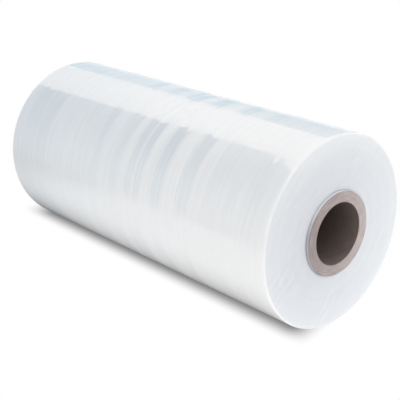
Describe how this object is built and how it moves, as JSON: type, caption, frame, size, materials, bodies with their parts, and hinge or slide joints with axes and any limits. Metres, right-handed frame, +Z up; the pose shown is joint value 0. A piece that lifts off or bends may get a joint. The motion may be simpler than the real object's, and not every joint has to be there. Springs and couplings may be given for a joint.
{
  "type": "stretch wrap roll",
  "caption": "Wide roll of clear glossy stretch wrap film wound on a thick paper tube that stands out a little at both ends, lying on its side.",
  "frame": {"origin": "on the roll's axis, at the middle of the paper tube's bore", "axes": "+X along the roll's axis towards the end that the picture shows, +Z up, +Y away from the viewer; the roll lies on its flat spot, below the origin"},
  "size_m": [0.515, 0.2364, 0.236],
  "materials": {
    "film": "gloss",
    "core_paper": "matte"
  },
  "bodies": {
    "root": {"film_roll": "film", "core_tube": "core_paper"}
  },
  "joints": []
}
